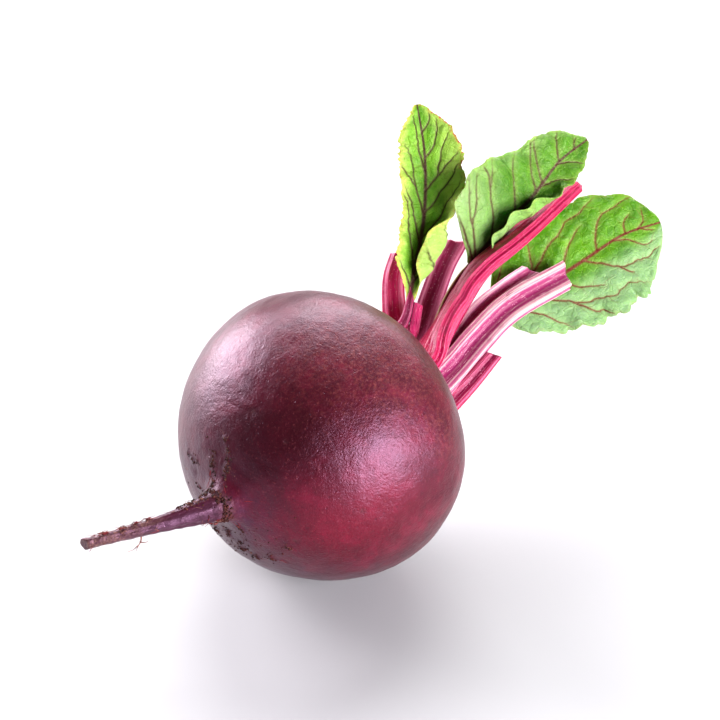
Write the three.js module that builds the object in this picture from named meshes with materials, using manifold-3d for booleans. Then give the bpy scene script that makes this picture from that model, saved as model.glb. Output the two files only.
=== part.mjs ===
// A beetroot as picked, lying on its side: the swollen root with its tap root and leaf-scarred crown,
// the cut leaf stalks that stand in the crown, and three young leaves on stalks of their own.
// Millimetres, +Z up. The beet's own axis runs along X, from the tap root (-X) to the crown (+X).
// The origin is the middle of the small flat spot that the beet rests on.
import * as THREE from "three";
import { mergeVertices } from "three/addons/utils/BufferGeometryUtils.js";
import Module from "manifold-3d";

const wasm = await Module();
wasm.setup();

// The swollen root
const BODY_RADIUS = 40; // half the width across the axis, at the widest ring
const ROOT_SIDE = 41; // from the widest ring to the pole where the tap root leaves
const CROWN_SIDE = 27.5; // from the widest ring to the flat of the crown
const SHOULDER = 2.2; // roundness of the crown side: 2 is an ellipse, more is squarer
const FLAT_DEPTH = 1.4; // how much the resting spot cuts into the round
const AXIS_HEIGHT = BODY_RADIUS - FLAT_DEPTH;
const LUMPS = 0.55; // size of the slow unevenness of the skin
const BODY_SEGMENTS = 40;
const SHOULDER_RINGS = 10; // from the crown's edge to the widest ring
const TAPER_RINGS = 10; // from the widest ring to where the skin turns out to the tap root

// The crown, where the leaves grew
const CROWN_RADIUS = 12.5;
const CROWN_TOP = 30; // height of the crown's middle along the axis
const SCAR_RINGS = 3; // raised rings of old leaf scars round the crown
const SCAR_RISE = 0.55;
const SCAR_LOBES = 7; // each ring is made of this many scars

// The tap root
const TAP_BEND = { from: -43, to: -74, side: 19.5, drop: 4.6 }; // it curves to +Y and droops
const TAP_COLLAR = 3.7; // radius just outside the skin's curve
const TAP_TIP = 1.5; // radius at the blunt cut tip
const TAP_RINGS = 9;

const GAP = 0.3; // clearance between neighbouring pieces

// Cut leaf stalks. path: centreline points from inside the crown outwards. width and depth: the full size
// across, at the base and at the far end. channel: the direction that the stalk's groove faces.
// groove: its depth as a share of the depth. cut: slant of the cut end, in mm across the width.
const STALKS = {
  stalk_main: {
    path: [
      [24, -1, 43], [36, -1.5, 42], [45, -1, 44.5], [56.5, -2, 55.5],
      [64, -3, 62], [76, -5.5, 67], [101.5, -7.5, 75.5],
    ],
    width: [10.5, 5.6], depth: [7.2, 4.6], channel: [0.4, 0.3, 0.9], groove: 0.08, cut: 0.8,
  },
  stalk_channelled: {
    path: [
      [24, -7, 40], [35, -7.5, 38], [46, -7, 39.5],
      [55, -9, 46], [66.5, -11, 51.5], [87.5, -16.5, 55.5],
    ],
    width: [9, 8.2], depth: [6.4, 5.6], channel: [-0.5, -0.6, 0.65], groove: 0.42, cut: -1.2,
  },
  stalk_behind: {
    path: [
      [24, -4, 35.5], [36, -3, 36], [50, -3.5, 42],
      [62, -4, 49.5], [71.5, -6, 53.5], [82, -8, 56],
    ],
    width: [7.5, 5.4], depth: [5.4, 4], channel: [-0.5, -0.5, 0.7], groove: 0.35, cut: 1.6,
  },
  stalk_left: {
    path: [
      [24, 8.5, 39.5], [36, 10, 40], [48, 14.5, 41.5],
      [52, 19, 47.5], [55.5, 22, 54], [61, 24, 59],
    ],
    width: [8.4, 5.8], depth: [6, 4.4], channel: [-0.6, -0.5, 0.6], groove: 0.15, cut: 0.6,
  },
  stalk_middle: {
    path: [[24, 3.5, 38.5], [38, 5, 39], [50, 8.5, 42], [60, 11.5, 49.5], [68, 13.5, 56], [76, 15, 60]],
    width: [7.6, 6.4], depth: [5.6, 4.6], channel: [-0.6, -0.5, 0.6], groove: 0.32, cut: 1.4,
  },
  stalk_stub: {
    path: [[24, 5, 44], [35, 5.5, 43], [44, 6.5, 45], [50.5, 8.8, 52.8]],
    width: [4.6, 2.6], depth: [3.8, 2.2], channel: [0.7, 0.3, 0.6], groove: 0.05, cut: 0.3,
  },
  stalk_low_front: {
    path: [[24, -8.5, 33], [35, -10.5, 31.5], [46, -12, 35], [56, -14.5, 42.5]],
    width: [6.6, 4], depth: [4.6, 3], channel: [-0.5, -0.5, 0.7], groove: 0.3, cut: 0.8,
  },
  stalk_low: {
    path: [[24, 0, 29.5], [37, 0.5, 27.5], [50, 0, 29], [64, -2.5, 34]],
    width: [7.2, 5.2], depth: [5.2, 3.8], channel: [-0.3, 0, 0.95], groove: 0.3, cut: -1,
  },
  stalk_far: {
    path: [[24, 7.5, 32.5], [36, 10, 31], [48, 14, 32.5], [60, 18, 36.5]],
    width: [6.8, 5], depth: [5, 3.6], channel: [-0.5, -0.3, 0.8], groove: 0.25, cut: 1,
  },
};
// ribs: how many stand out round a stalk. rise: by how much, as a share of its half width.
const STALK_SHAPE = { segments: 18, rings: 11, ribs: 9, rise: 0.05 };
const BASE_FLARE = 0.28; // how much wider a stalk is where it clasps the crown

// The stalks that carry the three leaf blades, in the same terms.
const LEAF_STALKS = {
  leafstalk_tall: {
    path: [[24, 9, 45.5], [33, 9.8, 45.5], [41, 10.2, 46.2], [46, 10.1, 49.2], [48.7, 10.85, 52.6]],
    width: [5.2, 3], depth: [4.2, 2.6], channel: [-0.5, -0.5, 0.7], groove: 0.2, cut: 0,
  },
  leafstalk_folded: {
    path: [
      [24, 1, 40.5], [38, 2, 39.5], [48, 3, 42.5],
      [59, 4.8, 52.3], [64.3, 4.2, 57.6], [66.7, 3.15, 60.15],
    ],
    width: [4.6, 3], depth: [4, 2.6], channel: [-0.5, -0.5, 0.7], groove: 0.2, cut: 0,
  },
  leafstalk_round: {
    path: [
      [24, -1, 32.5], [37, 0, 32.5], [48, 1.5, 36.5],
      [57, 2.8, 40.5], [63.7, 2, 42.6], [67.6, -0.25, 43.85],
    ],
    width: [5, 3], depth: [4, 2.6], channel: [-0.5, -0.5, 0.7], groove: 0.2, cut: 0,
  },
};
const LEAF_STALK_SHAPE = { segments: 10, rings: 11, ribs: 5, rise: 0 };

// Leaf blades. midrib: points from the leaf stalk's end to the tip. faces: the direction that the upper
// side looks, at the base and at the tip. right and left are the blade's sides as it is looked at from
// above with the tip away, each with evenly spaced values from the base to the tip. half: half width
// along the surface. fold: how far it is lifted from flat at the midrib, in degrees. curl: how much more
// at the edge. roll: how far the outer strip is turned over. wave: height of the edge's waves.
const BLADES = {
  blade_tall: {
    midrib: [
      [49, 11, 53], [54, 13.5, 60], [59.5, 15.5, 67.5],
      [65, 18.5, 76.5], [70, 23, 89], [72.5, 28, 101.5],
    ],
    faces: [[-0.62, -0.52, 0.56], [-0.6, -0.6, 0.5]],
    right: {
      half: [2.2, 10.5, 15, 11.5, 11.5, 10, 6], fold: [0, 22, 12, 4, 4, 6, 0], curl: 8,
      roll: [0, 128, 135, 45, 0, 0, 0],
    },
    left: {
      half: [2.2, 6.8, 7.4, 7.2, 8.2, 7.8, 4.5], fold: [0, 32, 22, 18, 14, 8, 0], curl: 5,
      roll: [0, 0, 0, 0, 0, 0, 0],
    },
    wave: 0.8, waves: 6.5,
  },
  blade_folded: {
    midrib: [
      [67, 3, 60.5], [71.5, 1, 65.5], [78, -1.5, 71.5],
      [86.5, -4, 77.5], [97, -5.5, 85], [107, -8, 89],
    ],
    faces: [[-0.45, -0.8, 0.4], [-0.5, -0.7, 0.5]],
    right: {
      half: [2.2, 7.5, 9.5, 9.5, 7.5, 7, 5], fold: [0, 100, 100, 40, 15, 10, 0], curl: 8,
      roll: [0, 10, 25, 95, 30, 0, 0],
    },
    left: {
      half: [2.2, 18, 20.5, 17.5, 12.5, 9, 4.5], fold: [0, 32, 26, 18, 10, 5, 0], curl: -10,
      roll: [0, 0, 0, 0, 0, 0, 0],
    },
    wave: 1.1, waves: 6.5,
  },
  blade_round: {
    midrib: [
      [68, -0.5, 44], [75.5, -5, 46.5], [85.5, -10.5, 50.5],
      [97, -16.5, 56.5], [108.5, -22, 62], [118, -28.5, 64.5],
    ],
    faces: [[-0.64, -0.53, 0.56], [-0.64, -0.5, 0.58]],
    right: {
      half: [2.2, 9.5, 14.5, 18, 18.5, 17.5, 13], fold: [0, 6, 4, 4, 4, 0, 0], curl: -5,
      roll: [0, 0, 0, 0, 0, 0, 0],
    },
    left: {
      half: [2.2, 13, 16, 17.5, 17, 13, 9], fold: [0, 12, 10, 8, 8, 6, 0], curl: -14,
      roll: [0, 0, 0, 0, 0, 0, 0],
    },
    wave: 0.9, waves: 5.5,
  },
};
const BLADE_THICKNESS = 0.8;
const BLADE_STEPS = 32; // rows along the midrib
const BLADE_COLUMNS = 6; // columns on each side of it
const CREASE = 0.25; // share of a side over which it bends up from the midrib
const TURN = { from: 0.34, to: 0.7 }; // where across a side its outer strip turns over
const SCALLOP = { depth: 0.035, count: 7 }; // shallow teeth of the edge
const TIP_ROUND = 0.2; // share of a blade's length over which its tip is rounded off
const MIDRIB_HEIGHT = 1.5; // how far the midrib stands out under the blade, at its base
const MIDRIB_WIDTH = 2.6; // its width there

const vector = (p) => new THREE.Vector3(p[0], p[1], p[2]);
const { lerp, degToRad, smoothstep } = THREE.MathUtils;

// A closed mesh's geometry as a solid, its shared vertices merged.
function solidOf(geometry) {
  const bare = geometry.index ? geometry.toNonIndexed() : geometry.clone();
  bare.deleteAttribute("normal");
  bare.deleteAttribute("uv");
  const merged = mergeVertices(bare, 1e-3);
  return new wasm.Manifold(
    new wasm.Mesh({
      numProp: 3,
      vertProperties: merged.attributes.position.array,
      triVerts: new Uint32Array(merged.index.array),
    }),
  );
}

function geometryOf(solid) {
  const mesh = solid.getMesh();
  const geometry = new THREE.BufferGeometry();
  geometry.setAttribute("position", new THREE.BufferAttribute(mesh.vertProperties, 3));
  geometry.setIndex(new THREE.BufferAttribute(mesh.triVerts, 1));
  geometry.computeVertexNormals();
  return geometry;
}

// Keeps the largest piece of a solid, so that a sliver left by a cut is dropped.
function largestPiece(solid) {
  return solid.decompose().reduce((a, b) => (b.volume() > a.volume() ? b : a));
}

// The profile from the crown's middle, over the shoulder and round to the tap root's blunt tip, as
// points (radius, distance along the axis) in the order that a lathe needs, with the tap root straight.
function bodyProfile() {
  const points = [new THREE.Vector2(0, CROWN_TOP)];
  points.push(new THREE.Vector2(CROWN_RADIUS * 0.45, CROWN_TOP - 0.3));
  for (let k = 0; k < SCAR_RINGS; k++) {
    const radius = CROWN_RADIUS * (0.78 + 0.14 * k);
    const rise = CROWN_TOP - 0.9 - 1.15 * k;
    points.push(new THREE.Vector2(radius, rise + SCAR_RISE));
    points.push(new THREE.Vector2(radius + 0.7, rise - 0.35));
  }
  const start = Math.asin((CROWN_RADIUS * 1.22) / BODY_RADIUS);
  for (let k = 0; k <= SHOULDER_RINGS; k++) {
    const angle = lerp(start, Math.PI / 2, k / SHOULDER_RINGS);
    const along = CROWN_SIDE * Math.pow(Math.cos(angle), 2 / SHOULDER);
    points.push(new THREE.Vector2(BODY_RADIUS * Math.sin(angle), along));
  }
  const turn = Math.asin(0.33); // the skin turns out to the tap root at a third of the radius
  for (let k = 1; k <= TAPER_RINGS; k++) {
    const angle = lerp(Math.PI / 2, Math.PI - turn, k / TAPER_RINGS);
    points.push(new THREE.Vector2(BODY_RADIUS * Math.sin(angle), ROOT_SIDE * Math.cos(angle)));
  }
  const from = points[points.length - 1];
  const to = new THREE.Vector2(TAP_COLLAR, -ROOT_SIDE - 5.5);
  const fillet = new THREE.CubicBezierCurve(
    from,
    new THREE.Vector2(from.x - 7.5, from.y - 2.6),
    new THREE.Vector2(to.x + 0.5, to.y + 4),
    to,
  );
  points.push(...fillet.getPoints(6).slice(1));
  for (let k = 1; k <= TAP_RINGS; k++) {
    const t = k / TAP_RINGS;
    const radius = TAP_TIP + (TAP_COLLAR - TAP_TIP) * Math.pow(1 - t, 2.2);
    points.push(new THREE.Vector2(radius, lerp(to.y, TAP_BEND.to, t)));
  }
  points.push(new THREE.Vector2(0, TAP_BEND.to));
  return points.reverse();
}

// Slow unevenness of the skin: how far it stands out, at a distance along the axis and an angle round it.
function unevenness(along, angle) {
  const bulge = Math.sqrt(Math.max(0, 1 - Math.pow(along / ROOT_SIDE, 2)));
  const slow = Math.sin(2 * angle + 0.9) + 0.7 * Math.sin(3 * angle + along * 0.05);
  return LUMPS * bulge * (slow + 0.4 * Math.sin(5 * angle - along * 0.09));
}

// The old leaf scars: each ring round the crown is a row of overlapping lobes.
function scarRelief(along, radius, angle) {
  const near = along > CROWN_SIDE - 3 && radius > CROWN_RADIUS * 0.6;
  return near ? 0.35 * Math.sin(SCAR_LOBES * angle + along * 1.7) : 0;
}

// The swollen root and tap root in one piece, with its resting spot cut flat.
function rootSolid(grow) {
  const lathe = new THREE.LatheGeometry(bodyProfile(), BODY_SEGMENTS);
  const position = lathe.attributes.position;
  const bend = TAP_BEND.from - TAP_BEND.to;
  for (let i = 0; i < position.count; i++) {
    const along = position.getY(i);
    const radius = Math.hypot(position.getX(i), position.getZ(i));
    const angle = Math.atan2(position.getX(i), position.getZ(i));
    const lump = unevenness(along, angle) * Math.min(1, radius / CROWN_RADIUS);
    const out = radius > 1e-6 ? radius + grow + lump : 0;
    const t = Math.max(0, (TAP_BEND.from - along) / bend);
    position.setXYZ(
      i,
      along + scarRelief(along, radius, angle) + (along > 0 ? grow : -grow),
      out * Math.cos(angle) + TAP_BEND.side * Math.pow(t, 1.25),
      out * Math.sin(angle) + AXIS_HEIGHT - TAP_BEND.drop * Math.pow(t, 1.3),
    );
  }
  const below = new THREE.BoxGeometry(4 * BODY_RADIUS, 4 * BODY_RADIUS, BODY_RADIUS);
  below.translate(0, 0, -BODY_RADIUS / 2);
  return solidOf(lathe).subtract(solidOf(below));
}

// A ribbed stalk along its path, with a groove on one side, wider where it clasps the crown.
function stalkSolid(stalk, shape, grow) {
  const curve = new THREE.CatmullRomCurve3(stalk.path.map(vector), false, "centripetal");
  const tube = new THREE.CylinderGeometry(1, 1, 1, shape.segments, shape.rings);
  const position = tube.attributes.position;
  const channel = vector(stalk.channel);
  for (let i = 0; i < position.count; i++) {
    const t = position.getY(i) + 0.5;
    const round = Math.atan2(position.getZ(i), position.getX(i));
    const reach = Math.hypot(position.getX(i), position.getZ(i));
    const forward = curve.getTangentAt(t);
    const up = channel.clone().addScaledVector(forward, -channel.dot(forward)).normalize();
    const side = new THREE.Vector3().crossVectors(forward, up);
    const flare = 1 + BASE_FLARE * Math.exp(-t / 0.12);
    const rib = 1 + shape.rise * Math.cos(shape.ribs * round);
    const halfWidth = (lerp(stalk.width[0], stalk.width[1], t) / 2) * flare * rib + grow;
    const halfDepth = (lerp(stalk.depth[0], stalk.depth[1], t) / 2) * rib + grow;
    const groove = stalk.groove * 2 * halfDepth * Math.exp(-Math.pow((round - Math.PI / 2) / 0.55, 2));
    const across = halfWidth * Math.cos(round) * reach;
    const height = (halfDepth * Math.sin(round) - groove) * reach;
    const slant = stalk.cut * Math.cos(round) * reach * Math.pow(t, 8) + (t > 0.5 ? grow : -grow);
    const p = curve.getPointAt(t).addScaledVector(side, across).addScaledVector(up, height);
    p.addScaledVector(forward, slant);
    position.setXYZ(i, p.x, p.y, p.z);
  }
  return solidOf(tube);
}

// A smooth value at a share s of the way along a list of evenly spaced ones.
function valueAlong(values, s) {
  const line = new THREE.SplineCurve(values.map((value, k) => new THREE.Vector2(k, value)));
  return line.getPoint(s).y;
}

// Half width of a blade's side at a share s of its length, with shallow teeth on its edge and a round tip.
function halfWidthAt(side, s) {
  const teeth = 1 + SCALLOP.depth * Math.sin(2 * Math.PI * SCALLOP.count * s);
  const round = Math.sqrt(1 - Math.pow(Math.max(0, (s - 1 + TIP_ROUND) / TIP_ROUND), 2));
  return Math.max(1, valueAlong(side.half, s) * teeth * round);
}

// A point on the middle of a blade: s runs from its base to its tip, v from -1 at the left edge, through
// 0 at the midrib, to 1 at the right edge. The cross-section is walked outwards from the midrib: its slope
// starts at the fold, grows by the curl, and turns by the roll where the outer strip is turned over.
function bladePoint(blade, curve, s, v) {
  const forward = curve.getTangentAt(s);
  const face = vector(blade.faces[0]).lerp(vector(blade.faces[1]), s);
  const up = face.addScaledVector(forward, -face.dot(forward)).normalize();
  const outward = new THREE.Vector3().crossVectors(forward, up).multiplyScalar(v < 0 ? -1 : 1);
  const side = v < 0 ? blade.left : blade.right;
  const reach = Math.abs(v);
  const half = halfWidthAt(side, s);
  const fold = degToRad(valueAlong(side.fold, s));
  const roll = degToRad(valueAlong(side.roll, s));
  const slopeAt = (w) =>
    fold * smoothstep(w, 0, CREASE) + degToRad(side.curl) * w + roll * smoothstep(w, TURN.from, TURN.to);
  const steps = 16;
  const point = curve.getPointAt(s);
  for (let n = 0; n < steps; n++) {
    const slope = slopeAt((reach * (n + 0.5)) / steps);
    point.addScaledVector(outward, (Math.cos(slope) * half * reach) / steps);
    point.addScaledVector(up, (Math.sin(slope) * half * reach) / steps);
  }
  const phase = 2 * Math.PI * blade.waves * s + (v < 0 ? 1.9 : 0);
  const fade = Math.pow(reach, 2.2) * Math.sin(Math.PI * Math.min(1, 1.05 * s));
  const wave = blade.wave * Math.sin(phase) * fade;
  const slope = slopeAt(reach);
  point.addScaledVector(outward, -Math.sin(slope) * wave);
  return point.addScaledVector(up, Math.cos(slope) * wave);
}

// A leaf blade: two like sheets a little apart, closed round the edge, with the midrib standing out below.
function bladeSolid(blade) {
  const curve = new THREE.CatmullRomCurve3(blade.midrib.map(vector), false, "centripetal");
  const columns = 2 * BLADE_COLUMNS + 1;
  const share = (j) => {
    const v = (j - BLADE_COLUMNS) / BLADE_COLUMNS;
    return Math.sign(v) * Math.pow(Math.abs(v), 1.15);
  };
  const stepAt = (i) => 1 - Math.pow(1 - i / BLADE_STEPS, 1.2);
  const at = (i, j) => bladePoint(blade, curve, stepAt(i), share(j));
  const top = [];
  const bottom = [];
  for (let i = 0; i <= BLADE_STEPS; i++) {
    for (let j = 0; j < columns; j++) {
      const s = stepAt(i);
      const p = at(i, j);
      const along = at(Math.min(i + 1, BLADE_STEPS), j).sub(at(Math.max(i - 1, 0), j));
      const across = at(i, Math.min(j + 1, columns - 1)).sub(at(i, Math.max(j - 1, 0)));
      const normal = across.cross(along).normalize().negate();
      const off = Math.abs(share(j)) * halfWidthAt(share(j) < 0 ? blade.left : blade.right, s);
      const taper = lerp(1, 0.12, s);
      const rib = MIDRIB_HEIGHT * taper * Math.exp(-Math.pow(off / ((MIDRIB_WIDTH / 2) * taper + 0.2), 2));
      top.push(p.clone().addScaledVector(normal, BLADE_THICKNESS / 2));
      bottom.push(p.clone().addScaledVector(normal, -BLADE_THICKNESS / 2 - rib));
    }
  }
  const points = [...top, ...bottom];
  const under = top.length;
  const faces = [];
  const cell = (i, j) => i * columns + j;
  for (let i = 0; i < BLADE_STEPS; i++) {
    for (let j = 0; j < columns - 1; j++) {
      const [a, b, c, d] = [cell(i, j), cell(i + 1, j), cell(i + 1, j + 1), cell(i, j + 1)];
      faces.push(a, b, c, a, c, d);
      faces.push(under + a, under + c, under + b, under + a, under + d, under + c);
    }
  }
  const wall = (a, b) => faces.push(a, b, under + b, a, under + b, under + a);
  for (let i = 0; i < BLADE_STEPS; i++) {
    wall(cell(i + 1, 0), cell(i, 0));
    wall(cell(i, columns - 1), cell(i + 1, columns - 1));
  }
  for (let j = 0; j < columns - 1; j++) {
    wall(cell(0, j), cell(0, j + 1));
    wall(cell(BLADE_STEPS, j + 1), cell(BLADE_STEPS, j));
  }
  const geometry = new THREE.BufferGeometry().setFromPoints(points);
  geometry.setIndex(faces);
  return solidOf(geometry);
}

const beetroot = new THREE.Group();

function addPiece(name, solid, material) {
  const mesh = new THREE.Mesh(geometryOf(solid), material);
  mesh.name = name;
  beetroot.add(mesh);
}

const skin = new THREE.MeshStandardMaterial({ color: 0x5c2338, roughness: 0.42 });
const crimson = new THREE.MeshStandardMaterial({ color: 0xa51c4e, roughness: 0.38 });
const green = new THREE.MeshStandardMaterial({ color: 0x6aa42c, roughness: 0.45 });

addPiece("beet_root", rootSolid(0), skin);

// Each stalk is trimmed to the crown and to the stalks before it, with a small gap.
let taken = rootSolid(GAP);
function addStalks(stalks, shape) {
  for (const [name, stalk] of Object.entries(stalks)) {
    addPiece(name, largestPiece(stalkSolid(stalk, shape, 0).subtract(taken)), crimson);
    taken = taken.add(stalkSolid(stalk, shape, GAP));
  }
}
addStalks(STALKS, STALK_SHAPE);
addStalks(LEAF_STALKS, LEAF_STALK_SHAPE);
for (const [name, blade] of Object.entries(BLADES)) {
  addPiece(name, largestPiece(bladeSolid(blade).subtract(taken)), green);
}

export default beetroot;
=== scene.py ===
"""A beetroot as picked, lying on its side: skin with rootlets and soil, ribbed cut stalks and three veined leaves."""
import itertools
import math

import bpy
import numpy as np
from mathutils import Matrix, Vector


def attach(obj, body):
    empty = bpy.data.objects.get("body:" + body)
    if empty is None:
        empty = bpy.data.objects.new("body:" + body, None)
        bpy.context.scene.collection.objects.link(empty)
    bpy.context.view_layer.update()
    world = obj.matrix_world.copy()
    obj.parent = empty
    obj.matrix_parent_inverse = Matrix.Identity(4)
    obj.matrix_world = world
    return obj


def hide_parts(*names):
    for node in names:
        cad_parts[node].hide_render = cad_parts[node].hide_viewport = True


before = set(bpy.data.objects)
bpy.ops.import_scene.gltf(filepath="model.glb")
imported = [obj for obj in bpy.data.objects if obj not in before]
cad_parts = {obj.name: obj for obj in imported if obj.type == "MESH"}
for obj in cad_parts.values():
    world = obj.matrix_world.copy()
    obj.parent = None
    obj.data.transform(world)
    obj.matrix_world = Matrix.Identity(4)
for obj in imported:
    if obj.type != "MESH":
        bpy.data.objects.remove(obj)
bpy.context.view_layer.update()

MM = 0.001

# The camera stands where the photograph was taken from, and nothing is shifted.
AZIMUTH, ELEVATION = math.radians(-50), math.radians(34)
AIM = Vector((0, 0, 38.6)) * MM
DISTANCE = 0.54054
OFF_CENTRE = (0.01575, 0.03605)


def add_object(name, data):
    thing = bpy.data.objects.new(name, data)
    bpy.context.scene.collection.objects.link(thing)
    return thing


def add_camera():
    back = Vector((
        math.sin(AZIMUTH) * math.cos(ELEVATION),
        -math.cos(AZIMUTH) * math.cos(ELEVATION),
        math.sin(ELEVATION),
    ))
    right = Vector((math.cos(AZIMUTH), math.sin(AZIMUTH), 0))
    up = back.cross(right)
    z = -(right * OFF_CENTRE[0] + up * OFF_CENTRE[1] - back).normalized()
    x = up.cross(z).normalized()
    y = z.cross(x)
    data = bpy.data.cameras.new("camera")
    data.lens = 100
    data.sensor_width = 36
    data.clip_start = 0.01
    camera = add_object("camera", data)
    camera.matrix_world = Matrix.Translation(AIM + back * DISTANCE) @ Matrix((x, y, z)).transposed().to_4x4()
    bpy.context.scene.camera = camera


add_camera()


# Colours are written as they look on screen, 0 to 255.
def colour(r, g, b):
    def linear(c):
        c /= 255
        return c / 12.92 if c < 0.04045 else ((c + 0.055) / 1.055) ** 2.4
    return (linear(r), linear(g), linear(b), 1)


def unit(v):
    return v / np.maximum(np.linalg.norm(v, axis=-1, keepdims=True), 1e-9)


def zipped(*values):
    """Rows made of one value from each list."""
    return np.stack(values, axis=1)


def smoothstep(x, low, high):
    t = np.clip((x - low) / (high - low), 0, 1)
    return t * t * (3 - 2 * t)


def mix(a, b, t):
    return a + (b - a) * t


def bell(x, width):
    """1 at 0, falling smoothly to 0 at about twice the width."""
    return np.exp(-(x / width) ** 2)


class Noise:
    """Smooth seeded gradient noise, about -1 to 1."""

    def __init__(self, seed):
        rng = np.random.RandomState(seed)
        self.table = rng.permutation(256)
        self.gradient = unit(rng.normal(size=(256, 3)))

    def __call__(self, points, size):
        q = np.asarray(points, float) / size
        cell = np.floor(q).astype(int)
        f = q - cell
        w = f * f * f * (f * (f * 6 - 15) + 10)
        total = np.zeros(len(q))
        for corner in itertools.product((0, 1), repeat=3):
            c = cell + corner
            h = self.table[(self.table[(self.table[c[:, 0] & 255] + c[:, 1]) & 255] + c[:, 2]) & 255]
            share = np.where(corner, w, 1 - w).prod(axis=1)
            total += share * (self.gradient[h] * (f - corner)).sum(axis=1)
        return total * 1.7


rough = Noise(3)


def near(points, centre, radius):
    """1 at the centre, falling smoothly to 0 at about twice the radius."""
    return np.exp(-((points - np.asarray(centre, float)) ** 2).sum(axis=-1) / radius ** 2)


def hermite(b, c, m, k, t):
    """The cubic from b to c with slopes m and k at its ends."""
    return (2 * b - 2 * c + m + k) * t ** 3 + (3 * c - 3 * b - 2 * m - k) * t ** 2 + m * t + b


def reached_along(line):
    """How far along a line of points each point is."""
    return np.concatenate([[0], np.cumsum(np.linalg.norm(np.diff(line, axis=0), axis=1))])


def stretch_at(share, count):
    """Which of a count of even stretches a share of the way falls in, and how far into it."""
    place = np.clip(share, 0, 1) * count
    i = np.clip(np.floor(place).astype(int), 0, count - 1)
    return i, place - i


def value_along(values, s):
    """A smooth value at a share s of the way along a list of evenly spaced ones."""
    v = np.asarray(values, float)
    n = len(v) - 1
    i, t = stretch_at(s, n)
    a, b, c, d = v[np.maximum(i - 1, 0)], v[i], v[i + 1], v[np.minimum(i + 2, n)]
    return hermite(b, c, (c - a) / 2, (d - b) / 2, t)


class Path:
    """A centripetal Catmull-Rom curve through points, followed by its length."""

    def __init__(self, points):
        self.points = np.asarray(points, float)
        self.t = np.linspace(0, 1, 401)
        self.reached = reached_along(self.at(self.t))
        self.length = self.reached[-1]

    def at(self, t):
        p = self.points
        i, w = stretch_at(t, len(p) - 1)
        q = np.vstack([2 * p[0] - p[1], p, 2 * p[-1] - p[-2]])
        a, b, c, d = q[i], q[i + 1], q[i + 2], q[i + 3]
        da, db, dc = [np.linalg.norm(step, axis=1)[:, None] ** 0.5 for step in (b - a, c - b, d - c)]
        m = ((b - a) / da - (c - a) / (da + db) + (c - b) / db) * db
        k = ((c - b) / db - (d - b) / (db + dc) + (d - c) / dc) * db
        return hermite(b, c, m, k, w[:, None])

    def t_at(self, s):
        return np.interp(s * self.length, self.reached, self.t)

    def __call__(self, s):
        return self.at(self.t_at(s))

    def frame(self, s, face):
        """Forward, side and up on the curve, with up as near to face as it can be."""
        t = self.t_at(s)
        forward = unit(self.at(np.minimum(t + 1e-3, 1)) - self.at(np.maximum(t - 1e-3, 0)))
        up = unit(face - (face * forward).sum(axis=1, keepdims=True) * forward)
        return forward, np.cross(forward, up), up


def add_mesh(name, points, faces, material, masks, node=None):
    """A piece from points in mm and faces of three or four corners, with a value at each point for each mask."""
    mesh = bpy.data.meshes.new(name)
    corners = np.concatenate([np.asarray(f).ravel() for f in faces])
    sizes = np.concatenate([np.full(len(f), np.asarray(f).shape[1]) for f in faces])
    starts = np.concatenate([[0], np.cumsum(sizes)[:-1]])
    mesh.vertices.add(len(points))
    mesh.vertices.foreach_set("co", (np.asarray(points) * MM).astype(np.float32).ravel())
    mesh.loops.add(len(corners))
    mesh.loops.foreach_set("vertex_index", corners.astype(np.int32))
    mesh.polygons.add(len(sizes))
    mesh.polygons.foreach_set("loop_start", starts.astype(np.int32))
    mesh.update(calc_edges=True)
    mesh.validate()
    mesh.shade_smooth()
    for mask, values in masks.items():
        values = np.asarray(values, np.float32)
        kind, field = ("FLOAT_VECTOR", "vector") if values.ndim == 2 else ("FLOAT", "value")
        mesh.attributes.new(mask, kind, "POINT").data.foreach_set(field, values.ravel())
    mesh.materials.append(material)
    piece = add_object(name, mesh)
    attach(piece, "root")
    if node:
        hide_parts(node)


def grid_faces(rows, columns, start=0, closed=False):
    """Four-cornered faces of a grid of points, closed round its columns if asked."""
    i, j = np.meshgrid(np.arange(rows - 1), np.arange(columns if closed else columns - 1), indexing="ij")
    k = (j + 1) % columns
    cells = [i * columns + j, i * columns + k, (i + 1) * columns + k, (i + 1) * columns + j]
    return start + np.stack(cells, axis=-1).reshape(-1, 4)


def tube(path, radii, sides, lumps=0.0):
    """A tapering round thread along a list of points, with closed ends: its points and faces."""
    path = np.asarray(path, float)
    forward = unit(np.gradient(path, axis=0))
    face = np.where(np.abs(forward[:, 2:]) < 0.9, [[0, 0, 1.0]], [[1.0, 0, 0]])
    side = unit(np.cross(forward, face))
    up = np.cross(side, forward)
    angle = np.arange(sides) * math.tau / sides
    radii = np.asarray(radii, float)[:, None, None]
    ring = np.cos(angle)[None, :, None] * side[:, None] + np.sin(angle)[None, :, None] * up[:, None]
    points = (path[:, None] + ring * radii).reshape(-1, 3)
    if lumps:
        points = points + (ring.reshape(-1, 3)) * (rough(points, 0.8) * lumps)[:, None]
    faces = grid_faces(len(path), sides, closed=True)
    points = np.vstack([points, path[:1] - forward[:1] * radii[0, 0], path[-1:] + forward[-1:] * radii[-1, 0]])
    last = (len(path) - 1) * sides
    k = np.arange(sides)
    first_cap = zipped((k + 1) % sides, k, np.full(sides, len(points) - 2))
    last_cap = zipped(last + k, last + (k + 1) % sides, np.full(sides, len(points) - 1))
    return points, [faces, first_cap, last_cap]


def join(parts):
    """Several (points, faces) lists as one."""
    points, quads, tris, start = [], [], [], 0
    for p, faces in parts:
        for f in faces:
            (quads if f.shape[1] == 4 else tris).append(f + start)
        points.append(p)
        start += len(p)
    groups = [np.concatenate(g) for g in (quads, tris) if g]
    return np.vstack(points), groups


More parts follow.
